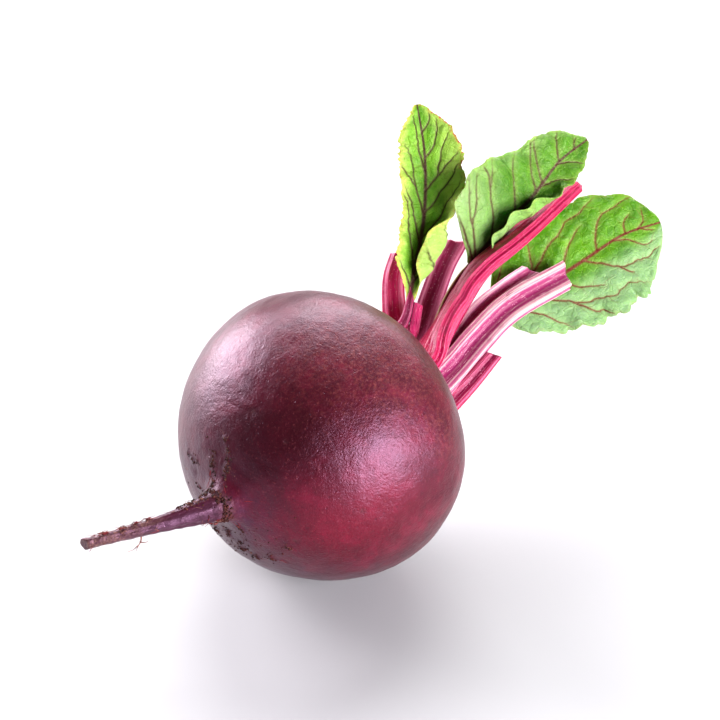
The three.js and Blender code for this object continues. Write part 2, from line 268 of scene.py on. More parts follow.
# Materials: a small wrapper, so that each is written as a few lines of nodes. A colour is given as it looks on screen,
# and any input may be the name of a mask.
class Material:
    def __init__(self, name):
        self.material = bpy.data.materials.new(name)
        self.material.use_nodes = True
        self.tree = self.material.node_tree
        self.place = self.node("TexCoord", "Object")

    def node(self, kind, output, inputs=(), **settings):
        """The chosen output of a new node, with its inputs fed."""
        node = self.tree.nodes.new("ShaderNode" + kind)
        for key, value in settings.items():
            setattr(node, key, value)
        for key, value in dict(inputs).items():
            self.feed(node.inputs[key], value)
        return node.outputs[output]

    def feed(self, socket, value):
        if isinstance(value, str):
            value = self.mask(value)
        if isinstance(value, bpy.types.NodeSocket):
            self.tree.links.new(value, socket)
        else:
            socket.default_value = colour(*value) if socket.type == "RGBA" else value

    def mask(self, name, output="Fac"):
        return self.node("Attribute", output, attribute_name=name)

    def scaled(self, place, scale):
        return self.node("Mapping", 0, {"Vector": place, "Scale": scale})

    def moved(self, place):
        """The place, moved about by noise, so that cells on it don't look regular."""
        shift = self.node("TexNoise", "Color", {"Vector": place, "Scale": 0.35})
        return self.node("VectorMath", 0, {0: shift, 1: (2, 2, 2), 2: place}, operation="MULTIPLY_ADD")

    def sized(self, size, place):
        """The inputs of a texture with features of a size in mm, or in the units of the place it is given."""
        return {"Vector": place or self.place, "Scale": (1 if place else 1000) / size}

    def noise(self, size, detail=3, roughness=0.55, distortion=0.0, place=None):
        inputs = {"Detail": detail, "Roughness": roughness, "Distortion": distortion}
        return self.node("TexNoise", "Fac", {**self.sized(size, place), **inputs})

    def spots(self, size, low, high, place=None, feature="F1", randomness=1.0):
        """1 where the distance from the middles or edges of cells is below low, 0 where it is above high."""
        inputs = {**self.sized(size, place), "Randomness": randomness}
        distance = self.node("TexVoronoi", "Distance", inputs, feature=feature)
        return self.math("SUBTRACT", 1.0, self.step(distance, low, high))

    def ramp(self, value, *stops):
        node = self.tree.nodes.new("ShaderNodeValToRGB")
        elements = node.color_ramp.elements
        while len(elements) < len(stops):
            elements.new(0.5)
        for element, (position, shade) in zip(elements, stops):
            element.position = position
            element.color = colour(*shade)
        self.feed(node.inputs[0], value)
        return node.outputs[0]

    def step(self, value, low, high):
        """0 below low, 1 above high, smooth between."""
        inputs = {"Value": value, "From Min": low, "From Max": high}
        return self.node("MapRange", "Result", inputs, interpolation_type="SMOOTHSTEP")

    def math(self, operation, a, b, c=0.0, clamp=False):
        return self.node("Math", 0, {0: a, 1: b, 2: c}, operation=operation, use_clamp=clamp)

    def over(self, base, shade, *shares):
        """The base with a shade over it, by shares multiplied together."""
        share = shares[0]
        for other in shares[1:]:
            share = self.math("MULTIPLY", share, other)
        return self.node("Mix", 2, {"Factor": share, 6: base, 7: shade}, data_type="RGBA")

    def coat(self, shade, *shares):
        """A shade over all that the base has so far."""
        self.base = self.over(self.base, shade, *shares)

    def finish(self, base, roughness, bumps=(), **constants):
        """The material. A bump is a height, a distance in mm and a strength."""
        inputs = {"Base Color": base, "Roughness": roughness}
        for height, distance, strength in bumps:
            bump = {"Height": height, "Distance": distance * MM, "Strength": strength}
            if "Normal" in inputs:
                bump["Normal"] = inputs["Normal"]
            inputs["Normal"] = self.node("Bump", 0, bump)
        inputs.update((name.replace("_", " "), value) for name, value in constants.items())
        for name, value in inputs.items():
            self.feed(self.tree.nodes["Principled BSDF"].inputs[name], value)
        return self.material


# The swollen root: the same form as in the part's source, with finer relief.
BODY_RADIUS, ROOT_SIDE, CROWN_SIDE, SHOULDER = 40, 41, 27.5, 2.2
AXIS_HEIGHT = 38.6
CROWN_RADIUS, CROWN_TOP, SCAR_RISE = 12.5, 30, 0.55
TAP_COLLAR, TAP_TIP, TAP_END = 3.7, 1.5, -73.2
TAP_BEND_FROM, TAP_BEND_LENGTH = -43, 31
TAP_SIDEWAYS, TAP_DROP = (19.5, 1.25), (4.6, 1.3)
BODY_SEGMENTS = 312
# The profile's points: on the crown, on each half of the body, on the way to the tap root and along it.
CROWN_POINTS, BODY_POINTS, NECK_POINTS, TAP_POINTS = 8, 160, 80, 60


def body_profile():
    """Radius and distance along the axis, from the middle of the crown to the tap root's tip."""
    line = [(0, CROWN_TOP), (CROWN_RADIUS * 0.45, CROWN_TOP - 0.3)]
    for k in range(3):
        radius = CROWN_RADIUS * (0.78 + 0.14 * k)
        rise = CROWN_TOP - 0.9 - 1.15 * k
        line += [(radius, rise + SCAR_RISE), (radius + 0.7, rise - 0.35)]
    start = math.asin(CROWN_RADIUS * 1.22 / BODY_RADIUS)
    for angle in np.linspace(start, math.pi / 2, BODY_POINTS):
        line.append((BODY_RADIUS * math.sin(angle), CROWN_SIDE * max(0, math.cos(angle)) ** (2 / SHOULDER)))
    for angle in np.linspace(math.pi / 2, math.pi - math.asin(0.33), BODY_POINTS)[1:]:
        line.append((BODY_RADIUS * math.sin(angle), ROOT_SIDE * math.cos(angle)))
    start, end = np.array(line[-1]), np.array((TAP_COLLAR, -ROOT_SIDE - 5.5))
    a, b = start + (-7.5, -2.6), end + (0.5, 4)
    for t in np.linspace(0, 1, NECK_POINTS)[1:]:
        line.append(start * (1 - t) ** 3 + 3 * a * t * (1 - t) ** 2 + 3 * b * t * t * (1 - t) + end * t ** 3)
    for t in np.linspace(0, 1, TAP_POINTS)[1:]:
        line.append((TAP_TIP + (TAP_COLLAR - TAP_TIP) * (1 - t) ** 2.2, mix(end[1], TAP_END, t)))
    line.append((0, TAP_END))
    return np.array([np.array(p, float) for p in line])


PROFILE = body_profile()
PROFILE_REACHED = reached_along(PROFILE)


# Small hollows of the skin: place in mm, width and depth.
HOLLOWS = [
    ((-32.6, -2.2, 62.7), 0.9, 0.22), ((-32.9, -13.4, 58.4), 0.8, 0.2), ((-35.5, -18.6, 31.5), 0.8, 0.22),
    ((-24.7, -31.8, 41.3), 0.9, 0.18), ((-38.7, 12, 41), 1.2, 0.2), ((10, 33, 52), 1.1, 0.3),
    ((-12, 36, 34), 0.9, 0.25), ((5, -12, 2.5), 1.1, 0.3), ((14, -33, 30), 0.9, 0.25), ((-20, 30, 60), 0.9, 0.25),
]
# Scars where side roots grew: along the axis, angle round it in degrees, radius.
ROOT_SCARS = [
    (-39.6, 60, 1.6), (-40.1, 90, 1.3), (-38.6, 85, 0.7), (-37.4, 80, 0.6), (-42.4, 56, 0.8),
    (-36.8, 17, 0.6), (-38, 20, 0.7), (-38.6, 26, 0.6), (-37.2, -64, 1.1), (-38.6, -82, 1.0),
    (-37.2, -95, 1.2), (-40.4, -122, 0.9), (-35.9, -106, 1.0), (-35.4, -122, 0.9), (-46.2, -150, 0.6),
    (-39.5, -8, 0.7), (-36, -150, 0.6), (-68.9, 91, 0.7), (-65.3, 89, 0.6), (-62.5, 86, 0.6), (-59.8, 85, 0.6),
]
# Creases round the root's end: along the axis, angle of the middle, spread in degrees, depth.
CREASES = [
    (-27.6, 100, 26, 0.26), (-30.7, 90, 20, 0.22), (-33.2, 86, 22, 0.2), (-24.6, 108, 22, 0.14),
    (-29.2, 112, 16, 0.14), (-35.4, 92, 24, 0.16), (-31.8, 66, 16, 0.14), (-20, -60, 30, 0.1),
]


def root_scar(place, turn):
    """The place in mm of a scar on the plain form of the root."""
    radius = np.interp(-place, -PROFILE[:, 1], PROFILE[:, 0])
    turn = math.radians(turn)
    return np.array([place, radius * math.cos(turn), radius * math.sin(turn) + AXIS_HEIGHT])


def body_surface(radius, along, angle, fine=True):
    """Points of the skin for radii and places along the straight axis, and angles round it."""
    bulge = np.sqrt(np.maximum(0, 1 - (along / ROOT_SIDE) ** 2))
    slow = np.sin(2 * angle + 0.9) + 0.7 * np.sin(3 * angle + along * 0.05)
    lump = 0.55 * bulge * (slow + 0.4 * np.sin(5 * angle - along * 0.09)) * np.minimum(1, radius / CROWN_RADIUS)
    scar_near = smoothstep(along, CROWN_SIDE - 4.5, CROWN_SIDE - 2.5) * smoothstep(radius, 6, 9)
    scar = 0.35 * scar_near * np.sin(7 * angle + along * 1.7)
    out = radius + lump * (radius > 0)
    push = np.zeros_like(radius)
    if fine:
        out, push = fine_relief(out, radius, along, angle)
    t = np.maximum(0, (TAP_BEND_FROM - along) / TAP_BEND_LENGTH)
    points = zipped(
        along + scar + push,
        out * np.cos(angle) + TAP_SIDEWAYS[0] * t ** TAP_SIDEWAYS[1],
        out * np.sin(angle) + AXIS_HEIGHT - TAP_DROP[0] * t ** TAP_DROP[1],
    )
    points[:, 2] = np.maximum(points[:, 2], 0)
    return points


def fine_relief(out, radius, along, angle):
    """Moves the skin by small folds, hollows, rings and root scars: the new radius, and a push along the axis."""
    flat = zipped(along, radius * np.cos(angle), radius * np.sin(angle) + AXIS_HEIGHT)
    on_body = smoothstep(along, -44, -38)
    on_tap = 1 - smoothstep(along, -47, -44.5)
    relief = on_body * (0.18 * rough(flat, 11) + 0.1 * rough(flat + 40, 4.6) + 0.05 * rough(flat + 80, 2.1) - 0.08)
    # Faint folds that run out from the tap root over the body
    relief += 0.06 * np.sin(9 * angle + 2.2 * rough(flat, 16)) * smoothstep(-along, 12, 34) * on_body
    # Fine rings round the tap root's end of the body
    relief += 0.05 * np.sin(along * 3.1 + 2.4 * rough(flat + 9, 7)) * smoothstep(-along, 33, 38.5) * (1 - on_tap)
    wander = 0.9 * rough(flat + 12, 6)
    for place, turn, spread, depth in CREASES:
        off = (np.degrees(angle) - turn + 180) % 360 - 180
        relief -= 0.65 * depth * np.exp(-((along - place - wander) / 0.9) ** 2 - (off / spread) ** 2)
    # Shoulders: shallow wrinkles towards the crown
    relief += 0.1 * np.sin(along * 2.6 + 3.0 * rough(flat + 20, 9)) * smoothstep(along, 17, 25)
    for centre, width, depth in HOLLOWS:
        relief -= depth * near(flat, centre, width)
    ragged = 1 + 0.5 * rough(flat + 44, 1.3)
    for place, turn, width in ROOT_SCARS:
        d = np.linalg.norm(flat - root_scar(place, turn), axis=1) * ragged
        relief += 0.42 * bell(d, width) - 0.3 * bell(d, 0.45 * width)
    # The crust where the tap root leaves, and the tap root's rings and furrows
    crust = bell(along + 44.6, 1.5)
    relief += crust * (0.35 * rough(flat + 60, 1.6) + 0.3 * rough(flat + 70, 0.8) + 0.1)
    rings = np.sin(along * 2.3 + 2.5 * rough(flat + 30, 4)) * (0.5 + 0.5 * rough(flat + 33, 6))
    furrows = np.sin(5 * angle + along * 0.12) + 0.6 * np.sin(9 * angle - along * 0.2)
    tip = smoothstep(-along, 60, 72)
    relief += on_tap * (0.09 * rings + 0.08 * furrows * (1 - 0.4 * tip) + 0.15 * rough(flat + 50, 1.3) * (0.15 + tip))
    # Corky ridges of the crown
    crown = smoothstep(along, 24.5, 27)
    corky = crown * (0.25 * rough(flat + 15, 1.8) + 0.15 * rough(flat + 16, 0.9))
    normal_along = np.where(along > 0, along / CROWN_SIDE, along / ROOT_SIDE)
    side_share = np.where(on_tap > 0.5, 1, np.sqrt(np.maximum(0.05, 1 - np.clip(normal_along, -1, 1) ** 2)))
    relief = relief * np.where(crown > 0.5, 0.3, 1)
    push = relief * (1 - side_share) * np.sign(along) + corky
    return np.maximum(0, out + relief * side_share * (radius > 0.2)), push


def on_skin(along, angle, lift):
    """Points lifted off the skin between the shoulder and the tip, at places along the axis and angles in degrees."""
    along, angle, lift = np.asarray(along, float), np.radians(angle), np.asarray(lift, float).reshape(-1, 1)
    radius_at = lambda place: np.interp(-place, -PROFILE[CROWN_POINTS:, 1], PROFILE[CROWN_POINTS:, 0])
    radius = radius_at(along)
    plain = body_surface(radius, along, angle, False)
    ahead = body_surface(radius_at(along + 0.2), along - 0.2, angle, False) - plain
    beside = body_surface(radius, along, angle + 0.02, False) - plain
    normal = unit(np.cross(beside, ahead))
    outward = zipped(along * 0 - 0.05, np.cos(angle), np.sin(angle))
    flip = np.sign((normal * outward).sum(axis=1, keepdims=True))
    return body_surface(radius, along, angle) + normal * flip * lift


def skin_material():
    m = Material("beet_skin")
    mottle = m.noise(9, 5, 0.6, 0.4)
    patch = m.noise(3.6, 6, 0.68)
    pebble = m.noise(1.5, 4, 0.6)
    grain = m.noise(0.6, 3, 0.7)
    speck = m.noise(1.1, 8, 0.85)
    m.base = m.ramp(mottle, (0.3, (46, 2, 11)), (0.5, (64, 5, 19)), (0.7, (86, 9, 30)))
    m.coat((44, 5, 12), m.step(patch, 0.46, 0.7), 0.5)
    # Painted light: a brighter crimson glow on the lower right, where the right lamp falls
    m.coat((110, 12, 26), "painted_glow", 0.28)
    # Painted shade: the unlit middle between the highlights, darkened
    m.coat((34, 3, 8), "dark", 0.85)
    # Greyer patches at the lower left and bottom: partly the skin's own bloom, partly a painted reflection of the pale
    # floor
    m.coat((58, 26, 46), "bloom_and_reflection", m.step(patch, 0.2, 0.7))
    m.coat((116, 58, 50), "russet", m.step(speck, 0.46, 0.66), 0.55)
    m.coat((136, 66, 66), m.step(grain, 0.58, 0.7), 0.22)
    m.coat((34, 4, 10), m.step(pebble, 0.44, 0.3), 0.4)
    pits = m.spots(1.9, 0.04, 0.16)
    m.coat((36, 8, 14), pits, 0.3)
    # The tap root: purple with paler streaks, tan at its tip, and a painted highlight streak along its side
    streak = m.noise(1.4, 4, 0.6, 0.2, m.scaled(m.place, (90, 1000, 1000)))
    tap = m.ramp(streak, (0.35, (40, 15, 26)), (0.5, (54, 25, 38)), (0.68, (68, 38, 54)))
    # Painted highlight: a lavender streak where a lamp's reflection lies on the tap root
    tap = m.over(tap, (84, 58, 78), "lavender", m.step(streak, 0.3, 0.6))
    tap = m.over(tap, (50, 8, 22), "band", 0.85)
    tan = m.ramp(grain, (0.4, (62, 38, 38)), (0.62, (112, 82, 72)))
    tap = m.over(tap, tan, "tan", m.step(speck, 0.35, 0.6))
    m.coat(tap, "tap")
    # Cork of the crown, scars and soil
    cork = m.ramp(patch, (0.3, (96, 58, 44)), (0.55, (140, 98, 74)), (0.75, (176, 140, 108)))
    m.coat(cork, "cork", m.step(speck, 0.36, 0.55))
    dirt = m.ramp(grain, (0.35, (24, 8, 8)), (0.65, (74, 38, 32)))
    m.coat(dirt, "dirt", m.step(speck, 0.3, 0.55))
    gloss = m.math("MULTIPLY_ADD", grain, 0.2, 0.21)
    gloss = m.math("MULTIPLY_ADD", "russet", 0.1, gloss)
    gloss = m.math("MULTIPLY_ADD", "dirt", 0.35, gloss, clamp=True)
    bumps = [(patch, 0.18, 0.65), (pebble, 0.18, 0.75), (grain, 0.14, 0.85), (pits, -0.1, 0.6)]
    return m.finish(m.base, gloss, bumps, Specular_IOR_Level=0.45, Specular_Tint=(242, 186, 224))


# Soft patches on the skin: strength, middle in mm and radius. The russet is the skin's own colour; the brighter
# crimson patches are painted light, the dark ones painted shade, and the greyer patches at the lower left and bottom
# partly bloom, partly a painted reflection of the floor.
PATCHES = {
    "russet": [(0.9, (-8, -12, 74), 17), (0.8, (-2, -28, 66), 12), (0.9, (2, -37, 53), 7), (0.35, (-10, 30, 20), 22)],
    "painted_glow": [(0.8, (-31, -25, 37), 13), (0.8, (-20, -35, 44), 12)],
    "dark": [(1, (-36, -10, 54), 10), (0.9, (-27, -19, 62), 12), (0.5, (-34, -4, 61), 10)],
    "bloom_and_reflection": [(1, (-38, 12, 34), 15), (1, (-32, 0, 14), 16), (0.6, (-18, -20, 6), 16), (0.4, (-26, 14, 66), 14),
              (0.6, (-41, -4, 36), 8)],
}


def body_masks(points, along, angle):
    """The patches, and where the skin is tap root, cork or soil, and where a highlight is painted along the tap root,
    as values at its points.
    """
    masks = {
        name: sum(strength * near(points, middle, radius) for strength, middle, radius in patches)
        for name, patches in PATCHES.items()
    }
    masks["russet"] += 0.8 * smoothstep(along, 14, 26)
    tap = 1 - smoothstep(along, -46.5, -42.5)
    tan = 1 - smoothstep(along, -70, -57)
    tan = np.maximum(tan, 0.8 * smoothstep(np.sin(angle), 0.4, 0.9) * smoothstep(-along, 55, 61))
    turned = lambda centre, spread: bell((np.degrees(angle) - centre + 180) % 360 - 180, spread)
    band = tap * turned(96, 30) * (1 - smoothstep(-along, 58, 66))
    # Where the painted highlight streak lies along the tap root's side
    lavender = tap * turned(160, 20) * smoothstep(-along, 44, 53) * (1 - smoothstep(-along, 60, 68))
    cork = smoothstep(along, 23.5, 27.5)
    dirt = 0.95 * bell(along + 44.3 + 0.5 * rough(points, 2), 1.3)
    ragged = 1 + 0.5 * rough(points + 44, 1.3)[:, None]
    for place, turn, width in ROOT_SCARS:
        centre = root_scar(place, turn)
        dirt += 0.9 * near(centre + (points - centre) * ragged, centre, width)
    for centre, width, depth in HOLLOWS:
        dirt += 0.7 * near(points, centre, width * 0.7)
    dirt += 0.6 * bell(along - 24.6, 0.7) * smoothstep(rough(points, 5), -0.3, 0.2)
    masks.update(tap=tap, tan=tan, band=band, lavender=0.45 * lavender, cork=cork, dirt=dirt)
    return {name: np.clip(values, 0, 1) for name, values in masks.items()}


def add_body():
    counts = [CROWN_POINTS, BODY_POINTS - 1, BODY_POINTS - 1, NECK_POINTS - 1, TAP_POINTS - 1]
    edge, widest, fillet, collar, end = PROFILE_REACHED[np.cumsum(counts)]
    stretches = [(0, edge, 30), (edge, widest, 66), (widest, fillet, 92), (fillet, collar, 44), (collar, end, 62)]
    reached = np.concatenate([np.linspace(a, b, n, endpoint=False) for a, b, n in stretches])
    reached = np.concatenate([reached, np.linspace(end, PROFILE_REACHED[-1], 6)])
    radius, along = [np.interp(reached, PROFILE_REACHED, column) for column in PROFILE.T]
    angle = np.arange(BODY_SEGMENTS) * math.tau / BODY_SEGMENTS
    rows = len(reached)
    r, a = np.repeat(radius, BODY_SEGMENTS), np.repeat(along, BODY_SEGMENTS)
    turn = np.tile(angle, rows)
    points = body_surface(r, a, turn)
    masks = body_masks(points, a, turn)
    faces = grid_faces(rows, BODY_SEGMENTS, closed=True)
    add_mesh("beet_skin", points, [faces], skin_material(), masks, "beet_root")


add_body()

# The cut stalks and the leaves' own stalks, on the same paths as in the part's source. The shades are
# those between the ribs, on the ribs, in the groove and of the flecks.
CHANNEL_FACES = (-0.5, -0.5, 0.7)
STALKS = {
    "stalk_main": dict(
        path=[[24, -1, 43], [36, -1.5, 42], [45, -0.6, 44.5], [56.5, -1.4, 55.6], [64, -2.4, 62.2], [76, -5.1, 67.2],
              [101.5, -7.5, 75.5]],
        width=[11.4, 7.4], depth=[7.2, 5.0], channel=[0.4, 0.3, 0.9], groove=0.04, cut=0.8,
        shades=((134, 6, 48), (196, 64, 108), (140, 8, 50), (216, 124, 132))),
    "stalk_channelled": dict(
        path=[[24, -7, 40], [35, -7.5, 38], [46, -7, 39.5], [55, -9, 46], [66.5, -11, 51.5], [87.5, -16.5, 55.5]],
        width=[9, 8.2], depth=[6.4, 5.6], channel=[-0.5, -0.6, 0.65], groove=0.42, cut=-1.2,
        shades=((148, 56, 98), (228, 212, 198), (116, 28, 70), (216, 172, 180))),
    "stalk_behind": dict(
        path=[[24, -4, 35.5], [36, -3, 36], [50, -3.5, 42], [62, -4, 49.5], [71.5, -6, 53.5], [82, -8, 56]],
        width=[7.5, 5.4], depth=[5.4, 4], groove=0.35, cut=1.6,
        shades=((176, 86, 126), (244, 222, 218), (156, 54, 100), (224, 176, 190))),
    "stalk_left": dict(
        path=[[24, 8.5, 39.5], [36, 10, 40], [48, 14.5, 41.5], [52, 19, 47.5], [55.5, 22, 54], [61, 24, 59]],
        width=[8.4, 5.8], depth=[6, 4.4], channel=[-0.6, -0.5, 0.6], groove=0.15, cut=0.6,
        shades=((164, 18, 70), (218, 124, 156), (182, 28, 84), (216, 150, 168))),
    "stalk_middle": dict(
        path=[[24, 3.5, 38.5], [38, 5, 39], [50, 8.5, 42], [60, 11.5, 49.5], [68, 13.5, 56], [76, 15, 60]],
        width=[7.6, 6.4], depth=[5.6, 4.6], channel=[-0.6, -0.5, 0.6], groove=0.32, cut=1.4,
        shades=((132, 26, 70), (200, 116, 146), (112, 14, 54), (196, 116, 144))),
    "stalk_stub": dict(
        path=[[24, 5, 44], [35, 5.5, 43], [44, 6.5, 45], [50.5, 8.8, 52.8]],
        width=[4.6, 2.6], depth=[3.8, 2.2], channel=[0.7, 0.3, 0.6], groove=0.05, cut=0.3,
        shades=((158, 16, 74), (206, 80, 124), (112, 6, 42), (214, 116, 138))),
    "stalk_low_front": dict(
        path=[[24, -8.5, 33], [35, -10.5, 31.5], [46, -12, 35], [56, -14.5, 42.5]],
        width=[6.6, 4], depth=[4.6, 3], groove=0.3, cut=0.8,
        shades=((132, 8, 50), (190, 90, 124), (100, 8, 44), (206, 134, 154))),
    "stalk_low": dict(
        path=[[24, 0, 29.5], [37, 0.5, 27.5], [50, 0, 29], [64, -2.5, 34]],
        width=[7.2, 5.2], depth=[5.2, 3.8], channel=[-0.3, 0, 0.95], groove=0.3, cut=-1,
        shades=((104, 8, 46), (190, 114, 136), (90, 10, 44), (196, 130, 148))),
    "stalk_far": dict(
        path=[[24, 7.5, 32.5], [36, 10, 31], [48, 14, 32.5], [60, 18, 36.5]],
        width=[6.8, 5], depth=[5, 3.6], channel=[-0.5, -0.3, 0.8], groove=0.25, cut=1,
        shades=((132, 8, 50), (190, 90, 124), (100, 8, 44), (206, 134, 154))),
    "leafstalk_tall": dict(
        path=[[24, 9, 45.5], [33, 9.8, 45.5], [41, 10.2, 46.2], [46, 10.1, 49.2], [48.7, 10.85, 52.6]],
        into_leaf=[[51.6, 12.2, 55.8], [55.5, 14.2, 61.2]],
        width=[5.2, 1.4], depth=[4.2, 1.2], groove=0.2, cut=0,
        shades=((106, 8, 46), (170, 70, 108), (82, 6, 36), (170, 100, 122))),
    "leafstalk_folded": dict(
        path=[[24, 1, 40.5], [38, 2, 39.5], [48, 3, 42.5], [59, 4.8, 52.3], [64.3, 4.2, 57.6], [66.7, 3.15, 60.15]],
        into_leaf=[[69.6, 2.6, 62.3], [73.6, 0.9, 66.4]],
        width=[4.6, 1.4], depth=[4, 1.2], groove=0.2, cut=0,
        shades=((118, 42, 58), (136, 138, 70), (84, 16, 40), (128, 128, 70))),
    "leafstalk_round": dict(
        path=[[24, -1, 32.5], [37, 0, 32.5], [48, 1.5, 36.5], [57, 2.8, 40.5], [63.7, 2, 42.6], [67.6, -0.25, 43.85]],
        into_leaf=[[71.8, -2.4, 44.2], [77.5, -5.6, 46.3]],
        width=[5, 1.4], depth=[4, 1.2], groove=0.2, cut=0,
        shades=((140, 36, 66), (180, 120, 106), (116, 18, 52), (128, 128, 70))),
}


def stalk_material(name, between, ridge, groove, fleck):
    m = Material(name)
    grain = m.mask("grain", "Vector")
    drawn_out = lambda share: m.scaled(grain, (1, 1, share))
    streaks = m.noise(0.42, 4, 0.7, 0.0, drawn_out(0.03))
    wide = m.noise(0.9, 2, 0.5, 0.0, drawn_out(0.04))
    fine = m.noise(0.3, 3, 0.6, 0.0, drawn_out(0.09))
    specks = m.spots(0.8, 0.1, 0.24, drawn_out(0.7))
    m.base = m.over(between, groove, "groove")
    m.coat((78, 6, 36), m.step(wide, 0.5, 0.66), 0.18)
    m.coat(ridge, "ridge", m.step(streaks, 0.28, 0.5))
    m.coat(ridge, "rim", m.step(streaks, 0.3, 0.5))
    m.coat(fleck, m.step(fine, 0.58, 0.72), 0.5)
    m.coat((80, 14, 38), m.step(m.noise(4, 3, 0.6), 0.52, 0.7), 0.3)
    m.coat((236, 176, 196), specks, m.math("MULTIPLY_ADD", "groove", 0.12, 0.14))
    # Painted glints: pale streaks on the ridges near the stalk's foot
    m.coat((222, 164, 180), "base", m.step(streaks, 0.54, 0.66))
    # The cut end: pale flesh with the ends of its strands
    flesh = m.over((150, 50, 78), (190, 140, 128), m.noise(0.7, 4, 0.7, 0.0, grain))
    flesh = m.over(flesh, (140, 20, 60), m.spots(1.1, 0.12, 0.3, grain))
    flesh = m.over(flesh, (120, 78, 54), m.step(m.noise(1.6, 3, 0.6, 0.0, grain), 0.55, 0.72))
    return m.finish(
        m.over(m.base, flesh, "end"), m.math("MULTIPLY_ADD", streaks, 0.24, 0.18),
        [(wide, 0.12, 0.6), (streaks, 0.16, 0.7), (specks, 0.06, 0.6)],
        Specular_IOR_Level=0.24, Specular_Tint=(255, 190, 220),
        Subsurface_Weight=0.1, Subsurface_Radius=(0.002, 0.0006, 0.0008), Subsurface_Scale=1.0,
    )


def along_line(turn, length):
    """Places for noise that runs along a stalk and has no seam round it."""
    return zipped(np.cos(turn) * 3, np.sin(turn) * 3, length * 0.12)


def stalk_surface(name, s, turn, reach):
    """Points of a stalk for shares of its length, angles round it and shares of the way out from its middle."""
    stalk = STALKS[name]
    path = Path(stalk["path"] + stalk.get("into_leaf", []))
    forward, side, up = path.frame(s, np.array([stalk.get("channel", CHANNEL_FACES)], float))
    leaf = name.startswith("leaf")
    ribs, rise = (5, 0.0) if leaf else (9, 0.05)
    flare = 1 + 0.28 * np.exp(-s / 0.12)
    length = s * path.length
    drift = 0.35 * np.sin(length * 0.11 + len(name))
    rib = 1 + rise * np.cos(ribs * turn)
    lines = ribs if leaf else 2 * ribs
    sharp = np.abs(np.cos(lines * (turn + 0.05 * drift) / 2 + 0.16 * rough(along_line(turn, length), 5))) ** 5
    fine = 0.036 * sharp
    fine = fine + 0.025 * rough(along_line(turn, length) + len(name) * 7, 1.4) - 0.02
    half_width = mix(stalk["width"][0], stalk["width"][1], s) / 2 * flare * (rib + fine)
    half_depth = mix(stalk["depth"][0], stalk["depth"][1], s) / 2 * (rib + fine)
    groove = stalk["groove"] * 2 * half_depth * bell(turn - math.pi / 2, 0.55)
    across = half_width * np.cos(turn) * reach
    height = (half_depth * np.sin(turn) - groove) * reach
    inside = 1 - reach
    slant = stalk["cut"] * np.cos(turn) * reach * s ** 8
    torn = rough(zipped(across * 1.2, height * 1.2, length) + 5, 1.1)
    slant = slant - (s >= 0.999) * (0.25 * np.sqrt(inside) + 0.22 * torn * (reach < 0.999) + 0.1)
    points = path(s) + side * across[:, None] + up * height[:, None] + forward * slant[:, None]
    wide, deep = sum(stalk["width"]) / 4, sum(stalk["depth"]) / 4
    lengthwise = length + (s >= 0.999) * inside * 3
    grain = zipped(wide * np.cos(turn) * reach, deep * np.sin(turn) * reach, lengthwise)
    ridge = sharp * (1 - bell(turn - math.pi / 2, 0.5))
    rim = bell(np.abs(turn - math.pi / 2) - 0.85, 0.2) * (stalk["groove"] > 0.12)
    rim = rim * mix(0.1, 0.75, smoothstep(s, 0.4, 0.75))
    masks = {
        "grain": grain, "ridge": 0.55 * ridge, "rim": rim,
        "groove": bell(turn - math.pi / 2, 0.5),
        # Where glints are painted on the ridges near the stalk's foot
        "base": 0.7 * (1 - smoothstep(length, 20, 34)) * sharp ** 2,
        "end": ((s >= 0.999) & (reach < 0.97)).astype(float),
    }
    return points, masks


FRONT = ("stalk_main", "stalk_channelled", "stalk_left")


def add_stalk(name):
    leaf = name.startswith("leaf")
    sides, rows, caps = (48, 90, 4) if leaf else (144 if name in FRONT else 96, 116, 8)
    s = np.concatenate([np.linspace(0, 1, rows), np.full(caps, 1.0)])
    reach = np.concatenate([np.ones(rows), 1 - np.arange(1, caps + 1) / (caps + 0.5)])
    angle = -math.pi / 2 + np.arange(sides) * math.tau / sides
    angle = np.where(angle > math.pi, angle - math.tau, angle)
    points, masks = stalk_surface(name, np.repeat(s, sides), np.tile(angle, len(s)), np.repeat(reach, sides))
    last = (len(s) - 1) * sides + np.arange(sides)
    faces = [grid_faces(len(s), sides, closed=True)[:, ::-1]]
    middle = points[last].mean(axis=0)
    points = np.vstack([points, middle])
    fan = zipped(last, np.full(sides, len(points) - 1), np.roll(last, -1))
    masks = {k: np.concatenate([v, v[last[:1]]]) for k, v in masks.items()}
    faces.append(fan)
    material = stalk_material(name + "_flesh", *STALKS[name]["shades"])
    add_mesh(name + "_fine", points, faces, material, masks, name)


for name in STALKS:
    add_stalk(name)

